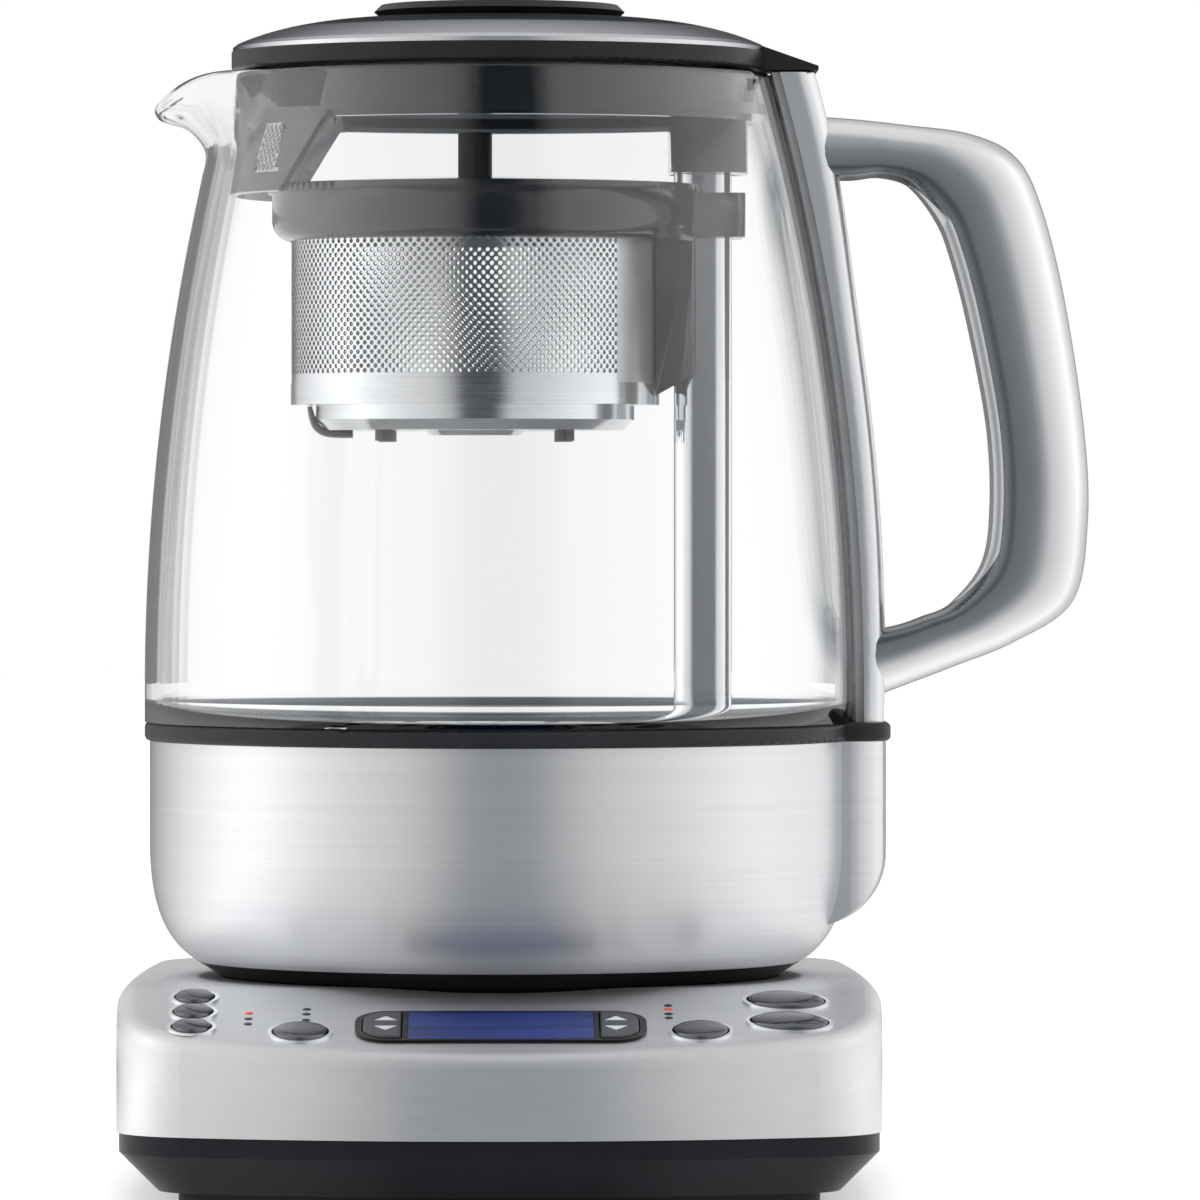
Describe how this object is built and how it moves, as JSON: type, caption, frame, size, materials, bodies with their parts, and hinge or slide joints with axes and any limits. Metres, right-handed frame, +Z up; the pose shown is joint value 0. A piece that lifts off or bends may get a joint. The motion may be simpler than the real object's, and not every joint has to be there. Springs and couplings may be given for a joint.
{
  "type": "automatic tea maker",
  "caption": "Electric tea maker: steel power base with sloped control panel, glass jug with spout and handle, lid, and a perforated tea basket that rides up and down a post.",
  "frame": {"origin": "where the jug's upright axis meets the table", "axes": "+Z up, spout towards -X, handle towards +X, control panel facing -Y"},
  "size_m": [0.2292, 0.2076, 0.2794],
  "materials": {
    "brushed_steel": "horizontally brushed",
    "polished_steel": "polished",
    "satin_metal": "satin, bead blasted",
    "plain_steel": "plain",
    "element_metal": "oxidised",
    "chrome": "bright",
    "black_plastic": "fine matt",
    "black_gloss": "glossy",
    "dark_grey_plastic": "matt",
    "smoky_plastic": "smoky, see-through",
    "grip_rubber": "soft satin",
    "rubber": "matt",
    "silicone": "translucent",
    "glass": "clear",
    "display_window": "clear",
    "display_blue": "backlit blue",
    "lamp_lens": "clear tinted",
    "button_cap": "satin",
    "circuit_board": "solder mask",
    "white_nylon": "plain",
    "brass": "plain"
  },
  "bodies": {
    "power_base": {"base_cover": "brushed_steel", "base_tray": "black_plastic", "base_foot": "rubber", "base_screws": "plain_steel", "base_connector": "black_gloss", "cord_gland": "rubber", "power_board": "circuit_board", "button_bezels": "chrome", "display_bezel": "black_gloss", "lcd_window": "display_window", "lcd_module": "display_blue", "tea_type_leds": "lamp_lens", "strength_leds": "lamp_lens", "control_board": "circuit_board", "tact_switches": "black_plastic"},
    "jug": {"jug_shell": "brushed_steel", "jug_bottom_cover": "black_gloss", "jug_connector": "black_plastic", "jug_seal_ring": "dark_grey_plastic", "heater_plate": "brushed_steel", "heating_element": "element_metal", "temperature_sensor": "plain_steel", "jug_glass": "glass", "handle_spine": "satin_metal", "spine_gasket": "silicone", "handle_shell": "satin_metal", "handle_grip": "grip_rubber", "handle_screws": "plain_steel", "mouth_collar": "smoky_plastic", "spout_filter": "plain_steel", "collar_gasket": "silicone", "lift_post": "polished_steel", "lift_motor": "plain_steel", "drive_bracket": "black_plastic"},
    "lid": {"lid_rim": "black_gloss", "lid_dome": "brushed_steel", "lid_skirt": "smoky_plastic", "lid_seal": "silicone", "lid_knob": "black_plastic", "knob_screw": "plain_steel"},
    "carriage": {"basket_carrier": "dark_grey_plastic", "carrier_magnets": "plain_steel"},
    "basket": {"basket_wall": "polished_steel", "basket_base": "polished_steel", "basket_feet": "black_plastic", "basket_clip": "black_plastic"},
    "basket_cap": {"basket_lid": "polished_steel", "basket_lid_knob": "black_plastic"},
    "screw": {"lead_screw": "brass"},
    "pinion": {"motor_pinion": "white_nylon"},
    "magnet_block": {"drive_magnet": "dark_grey_plastic"},
    "button_auto_start": {"button_auto_start": "button_cap"},
    "button_keep_warm": {"button_keep_warm": "button_cap"},
    "button_basket": {"button_basket": "button_cap"},
    "button_tea_type": {"button_tea_type": "button_cap"},
    "button_strength": {"button_strength": "button_cap"},
    "button_hot_water": {"button_hot_water": "button_cap"},
    "button_start": {"button_start": "button_cap"},
    "rocker_left": {"rocker_left": "dark_grey_plastic"},
    "rocker_right": {"rocker_right": "dark_grey_plastic"}
  },
  "joints": [
    {"name": "jug_lift", "type": "slide", "parent": "power_base", "child": "jug", "axis": [0, 0, 1], "range_m": [0, 0.06]},
    {"name": "lid_lift", "type": "slide", "parent": "jug", "child": "lid", "axis": [0, 0, 1], "range_m": [0, 0.05]},
    {"name": "basket_lift", "type": "slide", "parent": "jug", "child": "carriage", "axis": [0, 0, -1], "range_m": [0, 0.058]},
    {"name": "basket_out", "type": "slide", "parent": "carriage", "child": "basket", "axis": [0, 0, 1], "range_m": [0, 0.018]},
    {"name": "basket_lid_off", "type": "slide", "parent": "basket", "child": "basket_cap", "axis": [0, 0, 1], "range_m": [0, 0.016]},
    {"name": "magnet_slide", "type": "slide", "parent": "jug", "child": "magnet_block", "axis": [0, 0, -1], "range_m": [0, 0.058]},
    {"name": "screw_spin", "type": "hinge", "parent": "jug", "child": "screw", "pos_m": [0.0484, 0, 0.0934], "axis": [0, 0, 1], "range_deg": [0, 1045]},
    {"name": "pinion_spin", "type": "hinge", "parent": "jug", "child": "pinion", "pos_m": [0.0484, 0.0144, 0.0934], "axis": [0, 0, 1], "range_deg": [-2089, 0]},
    {"name": "button_auto_start_press", "type": "slide", "parent": "power_base", "child": "button_auto_start", "axis": [0, 0.2419, -0.9703], "range_m": [0, 0.0008], "stiffness_N_per_m": 1500},
    {"name": "button_keep_warm_press", "type": "slide", "parent": "power_base", "child": "button_keep_warm", "axis": [0, 0.2419, -0.9703], "range_m": [0, 0.0008], "stiffness_N_per_m": 1500},
    {"name": "button_basket_press", "type": "slide", "parent": "power_base", "child": "button_basket", "axis": [0, 0.2419, -0.9703], "range_m": [0, 0.0008], "stiffness_N_per_m": 1500},
    {"name": "button_tea_type_press", "type": "slide", "parent": "power_base", "child": "button_tea_type", "axis": [0, 0.2419, -0.9703], "range_m": [0, 0.0008], "stiffness_N_per_m": 1500},
    {"name": "button_strength_press", "type": "slide", "parent": "power_base", "child": "button_strength", "axis": [0, 0.2419, -0.9703], "range_m": [0, 0.0008], "stiffness_N_per_m": 1500},
    {"name": "button_hot_water_press", "type": "slide", "parent": "power_base", "child": "button_hot_water", "axis": [0, 0.2419, -0.9703], "range_m": [0, 0.0008], "stiffness_N_per_m": 1500},
    {"name": "button_start_press", "type": "slide", "parent": "power_base", "child": "button_start", "axis": [0, 0.2419, -0.9703], "range_m": [0, 0.0008], "stiffness_N_per_m": 1500},
    {"name": "rocker_left_tilt", "type": "hinge", "parent": "power_base", "child": "rocker_left", "pos_m": [-0.0268, -0.09197, 0.03885], "axis": [1, 0, 0], "range_deg": [-3, 3], "stiffness_Nm_per_rad": 0.5},
    {"name": "rocker_right_tilt", "type": "hinge", "parent": "power_base", "child": "rocker_right", "pos_m": [0.0274, -0.09197, 0.03885], "axis": [1, 0, 0], "range_deg": [-3, 3], "stiffness_Nm_per_rad": 0.5}
  ],
  "couplings": [
    {"joint": "magnet_slide", "follows": "basket_lift", "ratio": 1},
    {"joint": "screw_spin", "follows": "basket_lift", "rad_per_m": 314.16},
    {"joint": "pinion_spin", "follows": "basket_lift", "rad_per_m": -628.32}
  ]
}
